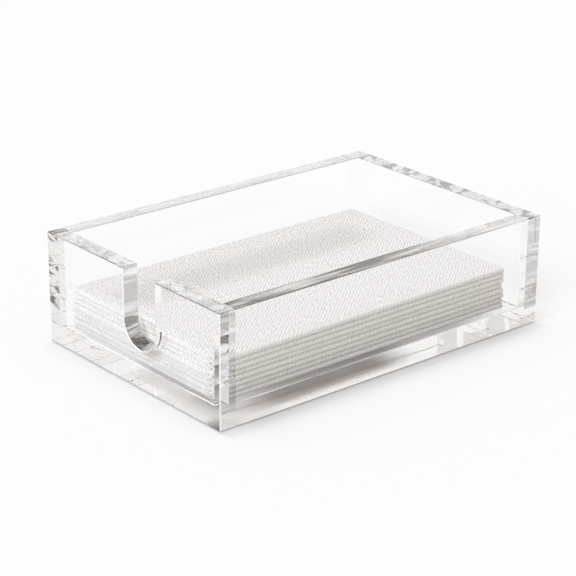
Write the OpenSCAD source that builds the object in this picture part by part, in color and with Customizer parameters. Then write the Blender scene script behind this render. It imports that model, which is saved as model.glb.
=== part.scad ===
// Napkin holder: a thick clear acrylic tray, solvent-welded from five cut plates, on four bumper feet.
// It has a finger notch in its front wall and a stack of eight letter-folded napkins inside.
// Millimetres, +Z up. The origin is on the table under the middle of the tray.
// The front is the notched short end, at -X, and the right is the long side at -Y.

/* [Napkins] */
// Length of a folded napkin, along the tray
napkin_l = 199; // [150:1:260]
// Width of a folded napkin, across the tray
napkin_w = 126; // [100:1:180]
// Thickness of a folded napkin
napkin_t = 3.05; // [2:0.05:4.5]
// Gap between the folded panels of a napkin
fold_gap = 0.2; // [0.1:0.05:0.3]
// How far the rounded fold runs in from the right-hand long edge
fold_nose = 2.6; // [2.4:0.1:6]
// How far the loose top leaf stops short of the folded left-hand edge
leaf_setback = 1.2; // [0:0.1:4]
// How far a napkin may lie out of line with the rest of the stack
stray = 0.7; // [0:0.1:1]

/* [Room round the stack] */
// Space between the front wall and the stack
front_gap = 2.5; // [1.5:0.1:10]
// Space between the rear wall and the stack
rear_gap = 7.5; // [1.5:0.1:15]
// Space between the right wall and the stack
right_gap = 4.6; // [1.5:0.1:10]
// Space between the left wall and the stack
left_gap = 1.8; // [1.5:0.1:10]

/* [Acrylic plates] */
// Thickness of the four walls
wall_t = 10; // [5:0.5:14]
// Thickness of the base plate
base_t = 10; // [5:0.5:14]
// Height of the walls above the base plate
wall_h = 54.7; // [48:0.1:90]
// Width of the small flat on every free edge, the edges of the notch among them
edge_flat = 0.5; // [0.2:0.1:1]

/* [Finger notch] */
// Width of the notch, which ends in a full half round
notch_w = 28; // [20:1:40]
// Depth of the notch below the rim
notch_depth = 42.4; // [30:0.1:46]
// How far the middle of the notch lies to the right of the tray's middle
notch_offset = 8.3; // [0:0.1:20]

/* [Bumper feet] */
// Diameter of a foot where it sticks to the base plate
foot_d = 8; // [6:0.5:12]
// Diameter of the face that a foot stands on
foot_face_d = 7; // [4:0.5:9]
// Height of a foot
foot_h = 1; // [0.6:0.1:3]
// Distance from the two sides of the tray to the middle of a foot
foot_inset = 8.5; // [7:0.5:20]

/* [Hidden] */
$fn = 96;

// Overrun of every cutter past the face that it starts from
over = 1;

// Inside and outside of the tray
cavity_l = front_gap + napkin_l + rear_gap;
cavity_w = right_gap + napkin_w + left_gap;
tray_l = cavity_l + 2 * wall_t;
tray_w = cavity_w + 2 * wall_t;
base_top = foot_h + base_t;
rim = base_top + wall_h;

// The short walls run from the right side of the tray to the inner face of the left wall
short_wall_l = tray_w - wall_t;

// Notch
notch_r = notch_w / 2;
notch_mid_z = rim - notch_depth + notch_r;
notch_rise = rim - notch_mid_z;
eased_r = notch_r + edge_flat;

// One folded panel: two leaves of the sheet, which was halved before it was folded in three
panel_t = (napkin_t - 2 * fold_gap) / 3;
panel_step = panel_t + fold_gap;
left_fold_r = (2 * panel_t + fold_gap) / 2;

// The two arcs of the right-hand fold, each tangent to a flat side of the napkin
nose_rise = napkin_t / 2;
nose_arc_r = (pow(fold_nose, 2) + pow(nose_rise, 2)) / napkin_t;
nose_arc_drop = nose_arc_r - nose_rise;

// How each napkin lies out of line, as shares of stray along and across the tray, bottom one first
stray_shares = [[0.3, 0], [0, 0.6], [0.5, 0], [0, 0.2], [-1, 0.8], [0.4, 0], [0.2, 0.3], [0, 0]];

// A rectangle about the origin with its four corners cut off flat
module eased_rect(a, b) {
    x = a / 2;
    y = b / 2;
    e = edge_flat;
    polygon([
        [x, e - y], [x, y - e], [x - e, y], [e - x, y],
        [-x, y - e], [-x, e - y], [e - x, -y], [x - e, -y]]);
}

// A block that stands on the origin, with a small flat on each of its twelve edges
module eased_block(l, w, h) {
    translate([0, 0, h / 2])
        intersection() {
            linear_extrude(h, center = true)
                eased_rect(l, w);
            rotate([90, 0, 0])
                linear_extrude(w, center = true)
                    eased_rect(l, h);
            rotate([90, 0, 90])
                linear_extrude(l, center = true)
                    eased_rect(w, h);
        }
}

// The outside of the whole tray, from which each plate is a part
module tray_block() {
    translate([0, 0, foot_h])
        eased_block(tray_l, tray_w, base_t + wall_h);
}

// Widens the mouth of the tray by the flats along the inner edges of the rim
module mouth() {
    l = cavity_l + 2 * edge_flat;
    w = cavity_w + 2 * edge_flat;
    translate([0, 0, rim - edge_flat])
        eased_block(l, w, edge_flat + 2 * over);
}

// One wall: the stretch of the tray between two corners given in plan
module wall(low, high) {
    color([0.86, 0.88, 0.88, 0.4])
        difference() {
            intersection() {
                tray_block();
                translate([low.x, low.y, base_top])
                    cube([high.x - low.x, high.y - low.y, wall_h + over]);
            }
            mouth();
        }
}

// Base plate, the full size of the tray, with the walls standing on it
module base_plate() {
    color([0.8, 0.82, 0.82, 0.5])
        intersection() {
            tray_block();
            translate([-tray_l / 2, -tray_w / 2, foot_h - over])
                cube([tray_l, tray_w, base_t + over]);
        }
}

// Left wall, the one plate that runs the whole length of the tray
module left_wall() {
    wall([-tray_l / 2, tray_w / 2 - wall_t], [tray_l / 2, tray_w / 2]);
}

// Right wall, set between the two short walls
module right_wall() {
    wall([-cavity_l / 2, -tray_w / 2], [cavity_l / 2, wall_t - tray_w / 2]);
}

// Rear wall, plain
module rear_wall() {
    wall([cavity_l / 2, -tray_w / 2], [tray_l / 2, short_wall_l - tray_w / 2]);
}

// Front wall, with the notch for a finger and thumb
module front_wall() {
    difference() {
        wall([-tray_l / 2, -tray_w / 2], [-cavity_l / 2, short_wall_l - tray_w / 2]);
        finger_notch();
    }
}

// The notch as a cutter, with its eased edges on both faces of the wall and at the rim
module finger_notch() {
    translate([-tray_l / 2, -notch_offset, notch_mid_z]) {
        notch_slot();
        notch_face_flats();
        translate([wall_t, 0, 0])
            mirror([1, 0, 0])
                notch_face_flats();
        notch_lip_flats();
    }
}

// A slot with a half-round bottom, open at the rim, through the wall that starts at zero
module notch_slot() {
    translate([-over, 0, 0])
        rotate([0, 90, 0])
            cylinder(r = notch_r, h = wall_t + 2 * over);
    translate([-over, -notch_r, 0])
        cube([wall_t + 2 * over, notch_w, notch_rise + over]);
}

// The flat round the edge of the notch on the wall's face at zero: a cone below and a wedge up to the rim
module notch_face_flats() {
    translate([-over, 0, 0])
        rotate([0, 90, 0])
            cylinder(r1 = eased_r + over, r2 = notch_r, h = edge_flat + over);
    linear_extrude(notch_rise + over)
        polygon([
            [-over, -eased_r - over], [edge_flat, -notch_r],
            [edge_flat, notch_r], [-over, eased_r + over]]);
}

// The two flats across the wall where the sides of the notch meet the rim
module notch_lip_flats() {
    translate([-over, 0, notch_rise])
        rotate([90, 0, 90])
            linear_extrude(wall_t + 2 * over)
                polygon([
                    [-notch_r, -edge_flat], [notch_r, -edge_flat],
                    [eased_r + over, over], [-eased_r - over, over]]);
}

// A clear bumper foot under one corner, stuck to the base plate and a little smaller where it stands
module foot(side_x, side_y) {
    x = side_x * (tray_l / 2 - foot_inset);
    y = side_y * (tray_w / 2 - foot_inset);
    color([0.75, 0.77, 0.77, 0.7])
        translate([x, y, 0])
            cylinder(d1 = foot_face_d, d2 = foot_d, h = foot_h);
}

// The right-hand fold in section: two arcs that meet in a blunt tip
module fold_nose_outline() {
    intersection() {
        translate([0, -nose_arc_drop])
            circle(nose_arc_r);
        translate([0, nose_arc_drop])
            circle(nose_arc_r);
        translate([0, -nose_rise])
            square([napkin_w, napkin_t]);
    }
}

// Outside of a folded napkin in section, its right-hand fold at zero
module napkin_outline() {
    translate([fold_nose, nose_rise])
        mirror([1, 0])
            fold_nose_outline();
    translate([fold_nose, 0])
        square([napkin_w - fold_nose - left_fold_r, 2 * left_fold_r]);
    translate([napkin_w - left_fold_r, left_fold_r])
        circle(left_fold_r);
    translate([fold_nose, 2 * left_fold_r])
        square([napkin_w - fold_nose - leaf_setback, napkin_t - 2 * left_fold_r]);
}

// The gap inside the fold: under the middle panel, round its free edge and out under the top leaf
module fold_gap_outline() {
    translate([fold_nose, panel_t])
        square([napkin_w - fold_nose - left_fold_r, fold_gap]);
    translate([fold_nose, panel_t])
        square([fold_gap, panel_t + 2 * fold_gap]);
    translate([fold_nose, panel_t + panel_step])
        square([napkin_w, fold_gap]);
}

// Cuts the front end of one panel round, where the sheet was halved
module halving_fold_cutter() {
    r = panel_t / 2;
    difference() {
        translate([-over, -over, 0])
            cube([r + over, napkin_w + 2 * over, panel_t]);
        translate([r, -2 * over, r])
            rotate([-90, 0, 0])
                cylinder(r = r, h = napkin_w + 4 * over);
    }
}

// One napkin of the stack, counted from the bottom, folded in three round its long folds
module napkin(number) {
    shares = stray_shares[number - 1];
    x = front_gap - cavity_l / 2 + stray * shares.x;
    y = right_gap - cavity_w / 2 + stray * shares.y;
    z = base_top + (number - 1) * napkin_t;
    color([0.96, 0.96, 0.94])
        translate([x, y, z])
            difference() {
                rotate([90, 0, 90])
                    linear_extrude(napkin_l)
                        difference() {
                            napkin_outline();
                            fold_gap_outline();
                        }
                for (panel = [0:2])
                    translate([0, 0, panel * panel_step])
                        halving_fold_cutter();
            }
}

base_plate();
left_wall();
right_wall();
front_wall();
rear_wall();
foot(-1, 1);  // front_left_foot
foot(-1, -1);  // front_right_foot
foot(1, 1);  // rear_left_foot
foot(1, -1);  // rear_right_foot
napkin(1);  // napkin_1
napkin(2);  // napkin_2
napkin(3);  // napkin_3
napkin(4);  // napkin_4
napkin(5);  // napkin_5
napkin(6);  // napkin_6
napkin(7);  // napkin_7
napkin(8);  // napkin_8
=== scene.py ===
import math

import bmesh
import bpy
from mathutils import Matrix, Vector, noise


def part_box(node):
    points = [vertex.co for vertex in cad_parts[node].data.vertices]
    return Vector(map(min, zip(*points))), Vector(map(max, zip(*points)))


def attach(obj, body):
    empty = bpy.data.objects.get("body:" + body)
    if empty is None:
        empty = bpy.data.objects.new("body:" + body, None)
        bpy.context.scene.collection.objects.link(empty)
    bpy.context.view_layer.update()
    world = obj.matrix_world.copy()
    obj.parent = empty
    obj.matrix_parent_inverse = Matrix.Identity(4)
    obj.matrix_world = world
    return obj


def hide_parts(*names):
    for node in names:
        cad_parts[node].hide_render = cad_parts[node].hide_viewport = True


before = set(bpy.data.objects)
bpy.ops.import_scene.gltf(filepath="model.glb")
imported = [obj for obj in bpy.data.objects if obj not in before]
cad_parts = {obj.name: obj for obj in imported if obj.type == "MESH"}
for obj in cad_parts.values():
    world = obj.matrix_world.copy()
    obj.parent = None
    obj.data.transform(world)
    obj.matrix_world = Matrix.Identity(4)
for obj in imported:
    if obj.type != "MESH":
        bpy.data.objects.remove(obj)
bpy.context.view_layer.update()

# Base plate and the four walls: cast acrylic sheet, sawn to size, its edges machined, flame-polished
# and eased to a small flat. The walls stand on the base plate, and thin solvent cement, drawn into
# each joint by itself, makes the five plates one clear block with hair lines where they meet.
mm = 0.001
touch = 0.01 * mm
sharp_edge = math.radians(60)
level = 0.9         # how much of a normal is upright where a plate's face looks up or down
flat_lean = 0.3     # how much of it is where an eased edge looks down
edge_flat = 0.5 * mm
rim_round = 0.5 * mm
seam_flat = 0.1 * mm
bead_flat = 0.5 * mm
film = 0.02 * mm
notch_w = 28 * mm
notch_depth = 42.4 * mm
notch_offset = 8.3 * mm
notch_arc_steps = 96
plates = ("base_plate", "left_wall", "right_wall", "front_wall", "rear_wall")
plate_box = {name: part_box(name) for name in plates}
tray_half = plate_box["base_plate"][1]
seat_height = plate_box["left_wall"][0].z
rim_height = plate_box["left_wall"][1].z


def linear(hex_colour):
    """An sRGB hex colour, such as "#ffffff", as the linear RGBA that shaders take."""
    parts = [int(hex_colour[i:i + 2], 16) / 255 for i in (1, 3, 5)]
    return [c / 12.92 if c <= 0.04045 else ((c + 0.055) / 1.055) ** 2.4 for c in parts] + [1.0]


def put(tree, kind, inputs=None, **settings):
    """Adds a node to a tree. An input is a number, a colour or the output of another node."""
    node = tree.nodes.new(kind)
    for name, value in settings.items():
        setattr(node, name, value)
    for key, value in (inputs or {}).items():
        if isinstance(value, bpy.types.NodeSocket):
            tree.links.new(value, node.inputs[key])
        else:
            node.inputs[key].default_value = value
    return node


def new_material(name):
    material = bpy.data.materials.new(name)
    material.use_nodes = True
    material.node_tree.nodes.clear()
    return material, material.node_tree


def place(bm, name, materials, body, slot, *nodes):
    """Makes a piece of a finished mesh, rides it on its body and lets it stand for its CAD nodes."""
    mesh = bpy.data.meshes.new(name)
    bm.to_mesh(mesh)
    bm.free()
    for material in materials:
        mesh.materials.append(material)
    piece = bpy.data.objects.new(name, mesh)
    bpy.context.scene.collection.objects.link(piece)
    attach(piece, body)
    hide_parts(*nodes)
    return piece


def soft_band(tree, along, start, full, fade, gone):
    """A band across one coordinate: none before start, all of it from full to fade, none after gone."""
    rise = put(tree, "ShaderNodeMapRange", {0: along, 1: start, 2: full, 3: 0.0, 4: 1.0},
               interpolation_type="SMOOTHSTEP")
    fall = put(tree, "ShaderNodeMapRange", {0: along, 1: fade, 2: gone, 3: 1.0, 4: 0.0},
               interpolation_type="SMOOTHSTEP")
    band = put(tree, "ShaderNodeMath", {0: rise.outputs[0], 1: fall.outputs[0]}, operation="MULTIPLY")
    return band.outputs[0]


def soft_patch(tree, spot, along_x, along_y, share):
    """A patch with soft sides, seen from above: a band along X crossed with one along Y, share strong."""
    patch = put(tree, "ShaderNodeMath", {
        0: soft_band(tree, spot.outputs[0], *along_x),
        1: soft_band(tree, spot.outputs[1], *along_y)}, operation="MULTIPLY")
    return put(tree, "ShaderNodeMath", {0: patch.outputs[0], 1: share}, operation="MULTIPLY").outputs[0]


def mark(bm, face, **shares):
    """Writes a face's shares as the attributes that its material reads."""
    for key, value in shares.items():
        face[bm.faces.layers.float[key]] = value


# Cast acrylic: colourless and mirror-smooth, it bends light less than glass does and takes a little of
# it on a long way through. Lamps reach through it, and solvent cement has its own index, so light
# crosses a joint as if nothing were there.
acrylic_ior = 1.49
clear_skin = "#fefefe"
depth_colour = "#b0a090"
depth_density = 0.6

# What differs from face to face is in shares, from 0 for none to 1 for all: the haze of a scraped face,
# the glint of an eased edge, flamed ripples, buffed waves, smoke streaks with dust and painted shade, patches
# of blots, the light that the face keeps back, the rubbed band underneath, painted shade on the floor beside
# the stack, and cement at a joint.
face_shares = ("haze", "glint", "flamed", "buffed", "smoked", "patched", "keeps_back", "rubbed", "floored",
               "cemented")
haze_colour = "#f5e0cd"
haze_through = 0.5
inner_haze = 0.3
dust_and_shade_colour = "#5f564d"
glint_colour = "#ffffff"
glint_roughness = 0.25

# The flame's ripples are about 3 mm apart and drawn out along the rim. Dark streaks in smoke colour follow
# them, and thin out towards the rear. On the right-hand rim, the tray's floor and the lower flats they are
# painted shade, and on the shoulders painted dark outlines. They are drawn as coarse as they need to show.
ripple_length = 40 * mm
ripple_width = 3 * mm
ripple_height = 0.3 * mm
wave_length = 22 * mm
wave_height = 0.14 * mm
smoke_and_shade_colour = "#3e352c"
streak_reach = (0.32, 0.53)
smoke_fade = (-10 * mm, 90 * mm)
smoke_left = 0.3

# Blots are flat and a little tilted, on the rim and in a belt at the height of the stack.
patch_width = 3.2 * mm
patch_length = 11 * mm
patch_turn = math.radians(15)
patch_swirl = 0.6
patch_reach = (0.48, 0.56)
patch_belt = (20 * mm, 25 * mm, 49 * mm, 54 * mm)
patch_rim = (60 * mm, 62 * mm)

# The underside is worn dull in a band along the right and the front, which the slab's sides mirror, and
# shade is painted on the floor beside the stack. Each has four stations along X and four along Y, in metres.
right_band_x = (-125 * mm, -55 * mm, 0.0, 38 * mm)
right_band_y = [v * mm - tray_half.y for v in (3, 19, 38, 52)]
front_band_x = [v * mm - tray_half.x for v in (10, 23, 36, 50)]
front_band_y = (-110 * mm, -60 * mm, -8 * mm, 24 * mm)
front_band_share = 0.34
right_gap_x = (-130 * mm, 10 * mm, 50 * mm, 100 * mm)
right_gap_y = [v * mm - tray_half.y for v in (9, 10, 17, 26)]
right_gap_painted_shade = 0.8
front_gap_x = [v * mm - tray_half.x for v in (9, 10, 14, 20)]
front_gap_y = (-72 * mm, -66 * mm, -16 * mm, 20 * mm)
front_gap_painted_shade = 0.7


def acrylic(name, shadow_colour, ambient_colour):
    """Clear acrylic with its wear and painted shade. The two colours tint what lamps and soft light send
    through it.
    """
    material, tree = new_material(name)
    share = {key: put(tree, "ShaderNodeAttribute", attribute_name=key).outputs["Fac"] for key in face_shares}
    path = put(tree, "ShaderNodeLightPath")
    position = put(tree, "ShaderNodeTexCoord").outputs["Object"]
    spot = put(tree, "ShaderNodeSeparateXYZ", {0: position})

    # Dark streaks in smoke colour along the ripples, partly painted shade.
    drawn_out = put(tree, "ShaderNodeMapping", {0: position, "Scale": (ripple_width / ripple_length, 1, 1)})
    ripples = put(tree, "ShaderNodeTexNoise", {
        0: drawn_out.outputs[0], "Scale": 1 / ripple_width, "Detail": 2.0, "Roughness": 0.5})
    streaks = put(tree, "ShaderNodeMapRange", {
        0: ripples.outputs["Fac"], 1: streak_reach[0], 2: streak_reach[1], 3: 0.0, 4: 1.0})
    streaks = put(tree, "ShaderNodeMath", {0: streaks.outputs[0], 1: share["smoked"]}, operation="MULTIPLY")
    fading = put(tree, "ShaderNodeMapRange", {
        0: spot.outputs[0], 1: smoke_fade[0], 2: smoke_fade[1], 3: 1.0, 4: smoke_left},
        interpolation_type="SMOOTHSTEP")
    smoke = put(tree, "ShaderNodeMath", {0: streaks.outputs[0], 1: fading.outputs[0]}, operation="MULTIPLY")

    # Blots, in the belt or at the rim.
    flat_out = put(tree, "ShaderNodeMapping", {
        0: position, "Rotation": (patch_turn, patch_turn, 0),
        "Scale": (patch_length / patch_width, patch_length / patch_width, 1)}, vector_type="TEXTURE")
    blots = put(tree, "ShaderNodeTexNoise", {
        0: flat_out.outputs[0], "Scale": 1 / patch_width, "Detail": 2.0, "Roughness": 0.5,
        "Distortion": patch_swirl})
    blots = put(tree, "ShaderNodeMapRange", {
        0: blots.outputs["Fac"], 1: patch_reach[0], 2: patch_reach[1], 3: 0.0, 4: 1.0})
    blots = put(tree, "ShaderNodeMath", {0: blots.outputs[0], 1: share["patched"]}, operation="MULTIPLY")
    at_rim = put(tree, "ShaderNodeMapRange", {
        0: spot.outputs[2], 1: patch_rim[0], 2: patch_rim[1], 3: 0.0, 4: 1.0})
    where = put(tree, "ShaderNodeMath", {
        0: soft_band(tree, spot.outputs[2], *patch_belt), 1: at_rim.outputs[0]}, operation="MAXIMUM")
    blots = put(tree, "ShaderNodeMath", {0: blots.outputs[0], 1: where.outputs[0]}, operation="MULTIPLY")

    # Painted shade on the floor beside the stack, in smoke colour. The darkest of the three is what tints the
    # skin.
    shade = put(tree, "ShaderNodeMath", {
        0: soft_patch(tree, spot, right_gap_x, right_gap_y, right_gap_painted_shade),
        1: soft_patch(tree, spot, front_gap_x, front_gap_y, front_gap_painted_shade)}, operation="MAXIMUM")
    shade = put(tree, "ShaderNodeMath", {0: shade.outputs[0], 1: share["floored"]}, operation="MULTIPLY")
    smoke = put(tree, "ShaderNodeMath", {0: smoke.outputs[0], 1: blots.outputs[0]}, operation="MAXIMUM")
    smoke = put(tree, "ShaderNodeMath", {0: smoke.outputs[0], 1: shade.outputs[0]}, operation="MAXIMUM")
    skin_colour = put(tree, "ShaderNodeMix", {
        0: smoke.outputs[0], 6: linear(clear_skin), 7: linear(smoke_and_shade_colour)}, data_type="RGBA")

    # Clear body: long waves of the buffed sides, and the ripples of the flamed rim.
    waves = put(tree, "ShaderNodeTexNoise", {
        0: position, "Scale": 1 / wave_length, "Detail": 1.0, "Roughness": 0.5})
    waves = put(tree, "ShaderNodeMath", {0: waves.outputs["Fac"], 1: share["buffed"]}, operation="MULTIPLY")
    wavy = put(tree, "ShaderNodeBump", {"Strength": 1.0, "Distance": wave_height, "Height": waves.outputs[0]})
    ripples = put(tree, "ShaderNodeMath", {
        0: ripples.outputs["Fac"], 1: share["flamed"]}, operation="MULTIPLY")
    skin = put(tree, "ShaderNodeBump", {
        "Strength": 1.0, "Distance": ripple_height, "Height": ripples.outputs[0], "Normal": wavy.outputs[0]})
    clear = put(tree, "ShaderNodeBsdfPrincipled", {
        "Base Color": skin_colour.outputs[2], "Roughness": 0.0, "IOR": acrylic_ior,
        "Transmission Weight": 1.0, "Normal": skin.outputs[0]})

    # Haze: scattered back and through. Dust lies only on the outside, so from inside the face is clearer.
    side = put(tree, "ShaderNodeNewGeometry")
    outside = put(tree, "ShaderNodeMath", {0: 1.0, 1: side.outputs["Backfacing"]}, operation="SUBTRACT")
    # On the lower flats the dark dust is also painted shade: the thin shaded line where the base meets the
    # floor.
    dust_and_shade = put(tree, "ShaderNodeMath", {0: share["smoked"], 1: outside.outputs[0]}, operation="MULTIPLY")
    haze_dusted_and_shaded = put(tree, "ShaderNodeMix", {
        0: dust_and_shade.outputs[0], 6: linear(haze_colour), 7: linear(dust_and_shade_colour)}, data_type="RGBA")
    scuffed = put(tree, "ShaderNodeBsdfDiffuse", {"Color": haze_dusted_and_shaded.outputs[2]})
    glowing = put(tree, "ShaderNodeBsdfTranslucent", {"Color": haze_dusted_and_shaded.outputs[2]})
    haze = put(tree, "ShaderNodeMixShader", {0: haze_through, 1: scuffed.outputs[0], 2: glowing.outputs[0]})
    seen = put(tree, "ShaderNodeMapRange", {0: outside.outputs[0], 1: 0.0, 2: 1.0, 3: inner_haze, 4: 1.0})
    seen = put(tree, "ShaderNodeMath", {0: share["haze"], 1: seen.outputs[0]}, operation="MULTIPLY")
    worn = put(tree, "ShaderNodeMath", {
        0: soft_patch(tree, spot, right_band_x, right_band_y, 1.0),
        1: soft_patch(tree, spot, front_band_x, front_band_y, front_band_share)}, operation="MAXIMUM")
    worn = put(tree, "ShaderNodeMath", {0: worn.outputs[0], 1: share["rubbed"]}, operation="MULTIPLY")
    hazed = put(tree, "ShaderNodeMath", {0: seen.outputs[0], 1: worn.outputs[0]}, operation="MAXIMUM")
    face = put(tree, "ShaderNodeMixShader", {0: hazed.outputs[0], 1: clear.outputs[0], 2: haze.outputs[0]})
    glint = put(tree, "ShaderNodeBsdfGlossy", {"Color": linear(glint_colour), "Roughness": glint_roughness})
    face = put(tree, "ShaderNodeMixShader", {0: share["glint"], 1: face.outputs[0], 2: glint.outputs[0]})

    # Lamps and soft light go straight through, tinted and less what the face keeps back, which gives the
    # tray its shadow. Cement is as if it weren't there.
    tint = put(tree, "ShaderNodeMix", {
        0: path.outputs["Is Shadow Ray"], 6: linear(ambient_colour), 7: linear(shadow_colour)},
        data_type="RGBA")
    tint = put(tree, "ShaderNodeMix", {
        0: share["keeps_back"], 6: tint.outputs[2], 7: linear("#000000")}, data_type="RGBA")
    lets_by = put(tree, "ShaderNodeBsdfTransparent", {"Color": tint.outputs[2]})
    straight = put(tree, "ShaderNodeMath", {
        0: path.outputs["Is Shadow Ray"], 1: path.outputs["Is Diffuse Ray"]}, operation="MAXIMUM")
    lit = put(tree, "ShaderNodeMixShader", {
        0: straight.outputs[0], 1: face.outputs[0], 2: lets_by.outputs[0]})
    cement = put(tree, "ShaderNodeBsdfTransparent", {"Color": linear("#ffffff")})
    surface = put(tree, "ShaderNodeMixShader", {
        0: share["cemented"], 1: lit.outputs[0], 2: cement.outputs[0]})
    depth = put(tree, "ShaderNodeVolumeAbsorption", {"Color": linear(depth_colour), "Density": depth_density})
    put(tree, "ShaderNodeOutputMaterial", {"Surface": surface.outputs[0], "Volume": depth.outputs[0]})
    return material


# The walls let nearly all light by, and the base plate, which the stack lies on, a little less.
wall_acrylic = acrylic("cast_acrylic_walls", "#fefefe", "#fbfaf9")
base_acrylic = acrylic("cast_acrylic_base", "#f4f2f0", "#e4e1dd")


def everything(bm):
    return bm.verts[:] + bm.edges[:] + bm.faces[:]


def sawn_block(name):
    """A plate as it comes from the saw: a plain block."""
    low, high = plate_box[name]
    bm = bmesh.new()
    bmesh.ops.create_cube(bm, size=1)
    bmesh.ops.scale(bm, vec=high - low, verts=bm.verts)
    bmesh.ops.translate(bm, vec=(low + high) / 2, verts=bm.verts)
    return bm


def notched_block(name):
    """The front wall: its outline with the notch, drawn on the outer face and drawn back through the wall."""
    low, high = plate_box[name]
    bm = bmesh.new()
    radius = notch_w / 2
    middle = Vector((low.x, -notch_offset, high.z - notch_depth + radius))
    to_wall = Matrix.Translation(middle) @ Matrix.Rotation(math.radians(90), 4, "Y")
    bmesh.ops.create_circle(bm, segments=notch_arc_steps, radius=radius, matrix=to_wall)
    upper = [v for v in bm.verts if v.co.z > middle.z + touch]
    bmesh.ops.delete(bm, geom=upper, context="VERTS")
    bm.verts.ensure_lookup_table()
    ends = sorted((v for v in bm.verts if abs(v.co.z - middle.z) < touch), key=lambda v: v.co.y)
    right_lip = bm.verts.new((low.x, ends[0].co.y, high.z))
    left_lip = bm.verts.new((low.x, ends[1].co.y, high.z))
    right_top = bm.verts.new((low.x, low.y, high.z))
    right_foot = bm.verts.new((low.x, low.y, low.z))
    left_foot = bm.verts.new((low.x, high.y, low.z))
    left_top = bm.verts.new((low.x, high.y, high.z))
    chain = [ends[0], right_lip, right_top, right_foot, left_foot, left_top, left_lip, ends[1]]
    for a, b in zip(chain, chain[1:]):
        bm.edges.new((a, b))
    face = bmesh.ops.contextual_create(bm, geom=bm.edges[:])["faces"]
    back = bmesh.ops.extrude_face_region(bm, geom=face, use_keep_orig=True)
    moved = [v for v in back["geom"] if isinstance(v, bmesh.types.BMVert)]
    bmesh.ops.translate(bm, vec=(high.x - low.x, 0, 0), verts=moved)
    bmesh.ops.recalc_face_normals(bm, faces=bm.faces)
    return bm


def cement_faces(bm, name):
    """Scores a plate along its neighbours' outlines, marks the faces that meet them and pulls those in
    by half the film of cement."""
    others = [box for other, box in plate_box.items() if other != name]
    for low, high in others:
        for axis in range(3):
            for corner in (low, high):
                normal = Vector(float(i == axis) for i in range(3))
                bmesh.ops.bisect_plane(
                    bm, geom=everything(bm), plane_co=corner, plane_no=normal, dist=touch / 10)
    cemented = bm.faces.layers.float["cemented"]
    for face in bm.faces:
        beyond = face.calc_center_median() + face.normal * touch
        face[cemented] = float(any(
            all(a < c < b for a, c, b in zip(low, beyond, high)) for low, high in others))
    for vert in bm.verts:
        sides = {tuple(round(c) for c in f.normal) for f in vert.link_faces if f[cemented]}
        for side in sides:
            vert.co -= Vector(side) * film / 2


def corner_edges(bm, cemented_sides):
    """The sharp edges with so many cemented faces beside them: none on a free edge, one at a joint."""
    cemented = bm.faces.layers.float["cemented"]
    return [e for e in bm.edges if len(e.link_faces) == 2 and e.calc_face_angle(0) > sharp_edge
            and sum(f[cemented] for f in e.link_faces) == cemented_sides]


def on_rim(edge):
    return all(v.co.z > rim_height - touch for v in edge.verts)


def on_floor(edge):
    """Whether an edge lies where a wall stands on the base plate, inside the tray's outline."""
    within = all(abs(v.co.x) < tray_half.x - touch and abs(v.co.y) < tray_half.y - touch for v in edge.verts)
    return within and edge.verts[0].co.z < seat_height + touch


def ease(bm, edges, offset, segments):
    """Takes edges down, and returns the new faces, cleared of their neighbours' haze, glint and cement."""
    edges = [e for e in edges if e.is_valid]
    if not edges:
        return []
    made = bmesh.ops.bevel(bm, geom=edges, offset=offset, affect="EDGES", segments=segments, profile=0.5,
                           material=-1)
    for face in made["faces"]:
        mark(bm, face, haze=0.0, glint=0.0, cemented=0.0)
    return made["faces"]


# Scraped flats on the free edges: those that look down are painted dark, as dust and as the shade where the
# base meets the floor, and the rest glint. The flame rounds the shoulders of the rim, which are painted dark
# as thin outlines, most at the right-hand wall, where this is painted shade.
flat_glint = 0.9
flat_haze = 0.9
rim_glint = 0.1
shoulder_outline_and_shade = {"left_wall": 0.4, "right_wall": 0.8, "front_wall": 0.4, "rear_wall": 0.4}


def ease_edges(bm, name):
    """The flats, the rounded shoulders, and a hair line where a free face meets a cemented one."""
    for face in ease(bm, [e for e in corner_edges(bm, 0) if not on_rim(e)], edge_flat, 2):
        if face.normal.z < -flat_lean:
            mark(bm, face, haze=flat_haze, smoked=1.0)
        else:
            mark(bm, face, glint=flat_glint, smoked=0.0)
    for face in ease(bm, [e for e in corner_edges(bm, 0) if on_rim(e)], rim_round, 5):
        face.smooth = True
        mark(bm, face, glint=rim_glint, smoked=shoulder_outline_and_shade[name], flamed=1.0)
    joints = [e for e in corner_edges(bm, 1) if abs(e.verts[0].co.z - e.verts[1].co.z) < touch]
    floor_joints = [e for e in joints if on_floor(e)]
    ease(bm, [e for e in joints if on_rim(e)], seam_flat, 1)
    for face in ease(bm, floor_joints, bead_flat, 1):
        mark(bm, face, glint=flat_glint)


# The shares of the large faces: dark streaks and blots in smoke colour on the rim, in the notch and at the
# plates' ends, painted shade on the base plate's floor and on the right-hand rim, and the base plate's worn
# underside. The rear wall's end has over 1, because the streaks thin out towards the rear.
rim_smoke_and_shade = {"left_wall": 0.05, "right_wall": 1.0, "front_wall": 0.05, "rear_wall": 0.05}
rim_patches = {"left_wall": 0.08, "right_wall": 0.0, "front_wall": 0.45, "rear_wall": 0.8}
corner_smoke = 1.0
end_smoke = {"left_wall": 0.08, "front_wall": 0.45, "rear_wall": 1.9}
end_patches = {"left_wall": 1.0, "front_wall": 0.6, "rear_wall": 0.5}
notch_haze = 0.05
notch_smoke = 0.65
arc_patches = 0.9
floor_shade_streaks = 0.1
underside_haze = 0.02
underside_rubbed = 0.8
base_keeps_back = 0.35

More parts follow.
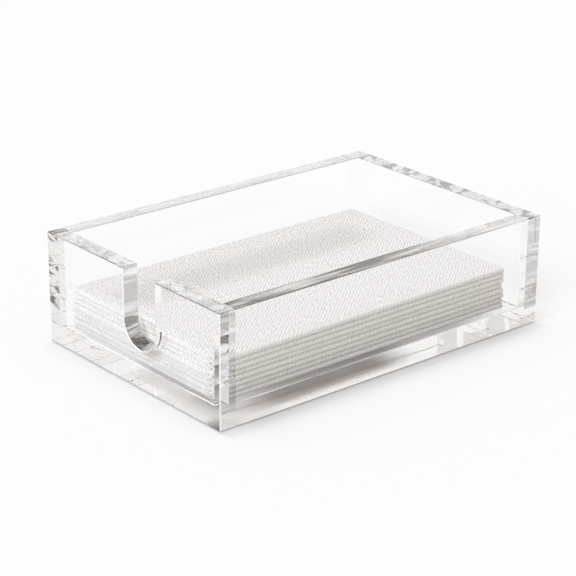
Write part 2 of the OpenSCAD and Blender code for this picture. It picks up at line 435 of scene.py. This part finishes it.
for name in plates:
    bm = notched_block(name) if name == "front_wall" else sawn_block(name)
    for key in face_shares:
        bm.faces.layers.float.new(key)
    low, high = plate_box[name]
    for face in bm.faces:
        middle = face.calc_center_median()
        beyond = middle + face.normal * touch
        if name != "base_plate" and face.normal.z > level:
            mark(bm, face, smoked=rim_smoke_and_shade[name], patched=rim_patches[name], flamed=1.0)
        elif name == "base_plate" and face.normal.z > level:
            mark(bm, face, smoked=floor_shade_streaks, floored=1.0)
        elif name == "base_plate" and face.normal.z < -level:
            mark(bm, face, haze=underside_haze, rubbed=underside_rubbed, keeps_back=base_keeps_back)
        elif name == "base_plate":
            mark(bm, face, keeps_back=base_keeps_back)
        if abs(beyond.x) > tray_half.x or abs(beyond.y) > tray_half.y:
            mark(bm, face, buffed=1.0)
            along_wall = face.normal.x if name == "left_wall" else face.normal.y
            if name in end_smoke and along_wall < -level:
                mark(bm, face, smoked=end_smoke[name], patched=end_patches[name])
        beside_notch = abs(middle.y + notch_offset) < notch_w and low.z + touch < middle.z < high.z - touch
        if name == "front_wall" and beside_notch and abs(face.normal.x) < level:
            face.smooth = abs(face.normal.y) > touch and abs(face.normal.z) > touch
            mark(bm, face, haze=notch_haze, smoked=notch_smoke, patched=arc_patches if face.smooth else 0.0)
    cement_faces(bm, name)
    for face in bm.faces:
        at_corner = face.calc_center_median().x < plate_box["front_wall"][1].x
        if name == "left_wall" and face.normal.z > level and at_corner:
            mark(bm, face, smoked=corner_smoke)
    ease_edges(bm, name)
    finish = base_acrylic if name == "base_plate" else wall_acrylic
    place(bm, name + "_acrylic", [finish], "tray", "clear_acrylic", name)

# Four bumper feet: clear polyurethane domes with a flat standing face, pressed on from a self-adhesive
# sheet under the corners of the base plate.
foot_top_r = 4 * mm
foot_face_r = 3.5 * mm
foot_edge = 0.3 * mm
foot_steps = 64
foot_level = 0.99
feet = ("front_left_foot", "front_right_foot", "rear_left_foot", "rear_right_foot")

# Polyurethane, cast as a drop: clear and soft, with a faint haze under its skin.
clear_polyurethane, tree = new_material("cast_polyurethane_clear")
surface = put(tree, "ShaderNodeBsdfPrincipled", {
    "Base Color": linear("#f2f1ee"), "Roughness": 0.12, "IOR": 1.5, "Transmission Weight": 1.0})
put(tree, "ShaderNodeOutputMaterial", {"Surface": surface.outputs[0]})

for name in feet:
    low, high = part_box(name)
    bm = bmesh.new()
    at = Matrix.Translation((low + high) / 2)
    bmesh.ops.create_cone(bm, cap_ends=True, segments=foot_steps, radius1=foot_face_r, radius2=foot_top_r,
                          depth=high.z - low.z - touch, matrix=at)
    rim = [e for e in bm.edges if all(v.co.z < at.translation.z for v in e.verts)]
    bmesh.ops.bevel(bm, geom=rim, offset=foot_edge, affect="EDGES", segments=4, profile=0.5, material=-1)
    for face in bm.faces:
        face.smooth = abs(face.normal.z) < foot_level
    place(bm, name + "_bumper", [clear_polyurethane], "tray", "clear_bumper", name)

# Eight napkins: airlaid paper with an embossed twill, cut to about 16 by 15 inches. Each is halved, with
# the fold at the front, and then folded in three like a letter: a flap from the left goes in first, and
# one from the right wraps round it and lies on top, so its rounded fold faces the right-hand wall.
napkin_count = 8
panels = 3
ply_t = 0.46 * mm
stack_gap = 0.16 * mm
leaf_setback = 1.2 * mm
nose_depth = 2.6 * mm
nose_bluntness = 3.0
flap_clearance = 0.6 * mm
front_setback = 0.6 * mm
cut_lip = 0.4 * mm
steps_long = 26
steps_wide = 22
steps_hairpin = 8
steps_nose = 14
steps_left_fold = 8

# No sheet lies quite straight: its edges wander along the tray, and its leaves lift a little.
edge_wander = 0.25 * mm
wander_per_metre = 18
wander_apart = 7.3
leaf_lift = 0.04 * mm
lift_per_metre = 25
lift_apart = 3.1

# Airlaid paper: white wood fluff bonded with latex, matt, with a twill pressed in by the embossing roll.
# The real twill and fibres are finer: they are drawn as coarse as they need to show. The folds press the
# pattern flat. A soft grey band along the left half of each sheet is painted shade. Each sheet shows
# another piece of the pattern.
twill_pitch = 1.7 * mm
twill_turn = math.radians(-50)
dash_length = 4 * mm
dash_width = 0.7 * mm
dash_share = 0.75
fibre_size = 0.5 * mm
fibre_share = 0.5
sheet_shift = Vector((37, 53)) * mm
crease_calm = 0.65
# The creases' flat tone is set a little dark, which paints part of the shade on the stack's folded sides.
crease_shade_tone = 0.5
hollow_colour = "#d6d3cf"
raised_colour = "#fdfcfb"
relief_reach = (0.42, 0.56)
relief_height = 0.15 * mm
relief_strength = 0.4
painted_band_tone = "#eeedeb"
painted_band_x = (-96 * mm, -90 * mm, 60 * mm, 92 * mm)
painted_band_y = (6 * mm, 26 * mm, 34 * mm, 54 * mm)

airlaid, tree = new_material("airlaid_paper_embossed")
uv = put(tree, "ShaderNodeUVMap", uv_map="cut_sheet")
turned = put(tree, "ShaderNodeMapping", {0: uv.outputs[0], "Rotation": (0, 0, twill_turn)})
# At a scale of 1, the bands of a wave lie 2 pi / 20 apart.
ridges = put(tree, "ShaderNodeTexWave", {
    0: turned.outputs[0], "Scale": 2 * math.pi / (20 * twill_pitch), "Distortion": 4.0, "Detail": 2.0,
    "Detail Scale": 1.2, "Detail Roughness": 0.6}, wave_type="BANDS", bands_direction="X", wave_profile="SIN")
stretched = put(tree, "ShaderNodeMapping", {
    0: turned.outputs[0], "Scale": (1.0, dash_width / dash_length, 1.0)})
dashes = put(tree, "ShaderNodeTexNoise", {
    0: stretched.outputs[0], "Scale": 1 / dash_width, "Detail": 1.0, "Roughness": 0.5})
twill = put(tree, "ShaderNodeMix", {
    0: dash_share, 2: ridges.outputs["Fac"], 3: dashes.outputs["Fac"]}, data_type="FLOAT")
fibres = put(tree, "ShaderNodeTexNoise", {
    0: uv.outputs[0], "Scale": 1 / fibre_size, "Detail": 3.0, "Roughness": 0.6})
relief = put(tree, "ShaderNodeMix", {
    0: fibre_share, 2: twill.outputs[0], 3: fibres.outputs["Fac"]}, data_type="FLOAT")
creased = put(tree, "ShaderNodeAttribute", attribute_name="creased")
calm = put(tree, "ShaderNodeMath", {0: creased.outputs["Fac"], 1: crease_calm}, operation="MULTIPLY")
relief = put(tree, "ShaderNodeMix", {
    0: calm.outputs[0], 2: relief.outputs[0], 3: crease_shade_tone}, data_type="FLOAT")
tone = put(tree, "ShaderNodeValToRGB", {0: relief.outputs[0]})
for stop, position, colour in zip(tone.color_ramp.elements, relief_reach, (hollow_colour, raised_colour)):
    stop.position = position
    stop.color = linear(colour)
spot = put(tree, "ShaderNodeSeparateXYZ", {0: put(tree, "ShaderNodeTexCoord").outputs["Object"]})
shaded_band = soft_patch(tree, spot, painted_band_x, painted_band_y, 1.0)
tone = put(tree, "ShaderNodeMix", {
    0: shaded_band, 6: tone.outputs[0], 7: linear(painted_band_tone)}, data_type="RGBA", blend_type="MULTIPLY")
bump = put(tree, "ShaderNodeBump", {
    "Strength": relief_strength, "Distance": relief_height, "Height": relief.outputs[0]})
surface = put(tree, "ShaderNodeBsdfPrincipled", {
    "Base Color": tone.outputs[2], "Roughness": 0.9, "IOR": 1.45, "Specular IOR Level": 0.2,
    "Normal": bump.outputs[0]})
put(tree, "ShaderNodeOutputMaterial", {"Surface": surface.outputs[0]})


def spread(start, end, steps):
    """The stations from start to end, without the last one."""
    return [start + (end - start) * i / steps for i in range(steps)]


def letter_fold(width, height):
    """The folded sheet in section, as one line from the flap inside to the cut edge of the leaf on top."""
    panel_gap = height / panels
    bottom = panel_gap / 2
    middle = height / 2
    top = height - bottom
    half_panel = panel_gap / 2
    left = width - half_panel * 2
    line = [(y, middle) for y in spread(nose_depth + flap_clearance, left, steps_wide)]
    for turn in spread(90, -90, steps_left_fold):
        angle = math.radians(turn)
        line.append((left + half_panel * math.cos(angle), panel_gap + half_panel * math.sin(angle)))
    line += [(y, bottom) for y in spread(left, nose_depth, steps_wide)]
    reach = nose_depth - half_panel
    for turn in spread(-90, 90, steps_nose):
        angle = math.radians(turn)
        out = abs(math.cos(angle)) ** (2 / nose_bluntness)
        up = math.copysign(abs(math.sin(angle)) ** (2 / nose_bluntness), angle)
        line.append((nose_depth - reach * out, middle + panel_gap * up))
    edge = width - leaf_setback
    line += [(y, top) for y in spread(nose_depth, edge - cut_lip, steps_wide)]
    line += [(edge - cut_lip, top), (edge, top)]
    return line


def halving_fold(length, ply_gap):
    """Along the tray: the outer ply from the rear cut edge, round the front fold and back inside it."""
    radius = ply_gap / 2
    front = radius + ply_t / 2
    line = [(length, radius)] + [(x, radius) for x in spread(length - cut_lip, front, steps_long)]
    for turn in spread(0, 180, steps_hairpin):
        angle = math.radians(turn)
        line.append((front - radius * math.sin(angle), radius * math.cos(angle)))
    line += [(x, -radius) for x in spread(front, length - cut_lip, steps_long)]
    line += [(length - cut_lip, -radius), (length, -radius)]
    return line


def run_lengths(line):
    """How far along the line each of its points lies."""
    total = [0.0]
    for a, b in zip(line, line[1:]):
        total.append(total[-1] + math.dist(a, b))
    return total


for number in range(1, napkin_count + 1):
    node = f"napkin_{number}"
    low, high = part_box(node)
    size = high - low
    folded_height = size.z - stack_gap
    ply_gap = folded_height / (2 * panels)
    across = letter_fold(size.y, folded_height)
    along = halving_fold(size.x, ply_gap)
    across_at, along_at = run_lengths(across), run_lengths(along)
    bm = bmesh.new()
    columns, rows = len(along) - 1, len(across) - 1
    bmesh.ops.create_grid(bm, x_segments=columns, y_segments=rows, size=0.5)
    creased_at = bm.verts.layers.float.new("creased")
    fold_front = (ply_gap + ply_t) / 2 - touch
    station = {}
    for vert in bm.verts:
        i = round((vert.co.x + 0.5) * columns)
        j = round((vert.co.y + 0.5) * rows)
        station[vert] = (along_at[i], across_at[j])
        x, offset = along[i]
        y, z = across[j]
        before, after = across[max(j - 1, 0)], across[min(j + 1, rows)]
        tangent = Vector((after[0] - before[0], after[1] - before[1])).normalized()
        wander = edge_wander * noise.noise(Vector((x * wander_per_metre, number * wander_apart, 0)))
        lift = leaf_lift * noise.noise(Vector((x * lift_per_metre, y * lift_per_metre, number * lift_apart)))
        x += front_setback * abs(z / size.z - 0.5) * panels * (1 - x / size.x)
        vert.co = low + Vector((x, y - tangent.y * offset + wander, z + tangent.x * offset + lift))
        vert[creased_at] = float(across[j][0] < nose_depth - touch or 0 < along[i][0] < fold_front)
    sheet_uv = bm.loops.layers.uv.new("cut_sheet")
    for face in bm.faces:
        face.smooth = True
        for loop in face.loops:
            loop[sheet_uv].uv = Vector(station[loop.vert]) + number * sheet_shift
    bmesh.ops.recalc_face_normals(bm, faces=bm.faces)
    piece = place(bm, node + "_sheet", [airlaid], node, "white_napkin", node)
    shell = piece.modifiers.new("paper_thickness", "SOLIDIFY")
    shell.thickness = ply_t
    shell.offset = 0

# The studio: a sweep of white paper that the tray stands on, a large softbox high on the left, another
# one lower at the front, and white all round. Dark panels stand low in the clear plastic's view, and
# only glass shows them: they are what draws the blocks in the slab and in the plates' ends.
floor_size = 8.0
paper_colour = "#fbfbfb"
bounce_colour = "#fdfaf6"
shadow_lift = 0.25
glass_lift = 0.9

# Matt white paper: a little short of pure white, and it keeps the tray's soft shadow.
white_paper, tree = new_material("matt_white_paper")
path = put(tree, "ShaderNodeLightPath")
shown = put(tree, "ShaderNodeMath", {0: 1.0, 1: path.outputs["Is Diffuse Ray"]}, operation="SUBTRACT")
lift = put(tree, "ShaderNodeMix", {
    0: path.outputs["Is Transmission Ray"], 2: shadow_lift, 3: glass_lift}, data_type="FLOAT")
lift = put(tree, "ShaderNodeMath", {0: shown.outputs[0], 1: lift.outputs[0]}, operation="MULTIPLY")
# To diffuse rays the paper is a little warmer than it shows, which tints the light that it bounces.
bounce_tint = put(tree, "ShaderNodeMix", {
    0: shown.outputs[0], 6: linear(bounce_colour), 7: linear(paper_colour)}, data_type="RGBA")
paper = put(tree, "ShaderNodeBsdfDiffuse", {"Color": bounce_tint.outputs[2]})
white = put(tree, "ShaderNodeEmission", {"Color": linear("#ffffff"), "Strength": 1.0})
surface = put(tree, "ShaderNodeMixShader", {0: lift.outputs[0], 1: paper.outputs[0], 2: white.outputs[0]})
put(tree, "ShaderNodeOutputMaterial", {"Surface": surface.outputs[0]})

bm = bmesh.new()
bmesh.ops.create_grid(bm, x_segments=1, y_segments=1, size=floor_size / 2)
mesh = bpy.data.meshes.new("paper_sweep")
bm.to_mesh(mesh)
bm.free()
mesh.materials.append(white_paper)
floor = bpy.data.objects.new("paper_sweep", mesh)
bpy.context.scene.collection.objects.link(floor)

# Each panel runs from one height to the next in the sweep's own slope, and between them all is white.
# The sky that lights the napkins is dimmer and warmer than the white that is seen.
sky_level = 0.5
sky_colour = "#fff6ee"
sweep_rise = (-0.3, -0.15, 1.0)
panel_tones = (
    (0.0, "#ffffff"),
    (0.275, "#ffffff"), (0.28, "#a0978e"), (0.298, "#a0978e"), (0.303, "#ffffff"),
    (0.395, "#ffffff"), (0.4, "#c0b9b2"), (0.43, "#c0b9b2"), (0.435, "#ffffff"),
    (0.475, "#ffffff"), (0.48, "#e6e4e1"), (0.5, "#e6e4e1"), (0.505, "#ffffff"))

world = bpy.data.worlds.new("white_studio")
bpy.context.scene.world = world
world.use_nodes = True
tree = world.node_tree
tree.nodes.clear()
path = put(tree, "ShaderNodeLightPath")
way = put(tree, "ShaderNodeTexCoord")
height = put(tree, "ShaderNodeVectorMath", {
    0: way.outputs["Generated"], 1: sweep_rise}, operation="DOT_PRODUCT")
panelled = put(tree, "ShaderNodeValToRGB", {0: height.outputs["Value"]})
while len(panelled.color_ramp.elements) < len(panel_tones):
    panelled.color_ramp.elements.new(1.0)
for stop, (position, colour) in zip(panelled.color_ramp.elements, panel_tones):
    stop.position = position
    stop.color = linear(colour)
in_glass = put(tree, "ShaderNodeMath", {0: 1.0, 1: path.outputs["Is Camera Ray"]}, operation="SUBTRACT")
studio = put(tree, "ShaderNodeMix", {
    0: in_glass.outputs[0], 6: linear("#ffffff"), 7: panelled.outputs[0]}, data_type="RGBA")
white = put(tree, "ShaderNodeBackground", {"Color": studio.outputs[2], "Strength": 1.0})
light = put(tree, "ShaderNodeBackground", {"Color": linear(sky_colour), "Strength": sky_level})
seen = put(tree, "ShaderNodeMath", {
    0: path.outputs["Is Camera Ray"], 1: path.outputs["Is Glossy Ray"]}, operation="MAXIMUM")
seen = put(tree, "ShaderNodeMath", {
    0: seen.outputs[0], 1: path.outputs["Is Transmission Ray"]}, operation="MAXIMUM")
direct = put(tree, "ShaderNodeMath", {0: path.outputs["Diffuse Depth"], 1: 0.5}, operation="LESS_THAN")
shown = put(tree, "ShaderNodeMath", {0: seen.outputs[0], 1: direct.outputs[0]}, operation="MULTIPLY")
both = put(tree, "ShaderNodeMixShader", {0: shown.outputs[0], 1: light.outputs[0], 2: white.outputs[0]})
put(tree, "ShaderNodeOutputWorld", {"Surface": both.outputs[0]})
world.cycles.sampling_method = "NONE"

# The softboxes are far away and 25 degrees wide. No glass shows them.
key_side = Vector((-0.15, 0.52, 0.84)).normalized()
key_level = 0.445
key_colour = "#f2f8ff"
fill_side = Vector((-0.85, -0.15, 0.4)).normalized()
fill_level = 0.53
fill_colour = "#e9f3ff"
lamp_spread = math.radians(25)

for name, side, strength, colour in (
        ("softbox", key_side, key_level, key_colour), ("front_softbox", fill_side, fill_level, fill_colour)):
    lamp = bpy.data.lights.new(name, "SUN")
    lamp.energy = math.pi * strength
    lamp.color = linear(colour)[:3]
    lamp.angle = lamp_spread
    softbox = bpy.data.objects.new(name, lamp)
    softbox.rotation_euler = side.to_track_quat("Z", "Y").to_euler()
    softbox.visible_transmission = False
    bpy.context.scene.collection.objects.link(softbox)

# The camera: a long lens from the front right, a little above the rim. Light takes many turns inside
# the clear plates, so its paths are long.
camera_place = Vector((-676.0, -795.9, 442.8)) * mm
camera_aim = Vector((-14.5, -9.7, 33.7)) * mm
camera_roll = math.radians(0.334)
camera_data = bpy.data.cameras.new("camera")
camera_data.lens = 125.36
camera_data.sensor_width = 36
camera = bpy.data.objects.new("camera", camera_data)
facing = (camera_aim - camera_place).to_track_quat("-Z", "Y").to_matrix()
rolled = facing @ Matrix.Rotation(camera_roll, 3, "Z")
camera.matrix_world = Matrix.Translation(camera_place) @ rolled.to_4x4()
bpy.context.scene.collection.objects.link(camera)
scene = bpy.context.scene
scene.camera = camera
scene.view_settings.view_transform = "Standard"
scene.cycles.max_bounces = 48
scene.cycles.diffuse_bounces = 8
scene.cycles.glossy_bounces = 32
scene.cycles.transmission_bounces = 24
scene.cycles.transparent_max_bounces = 32
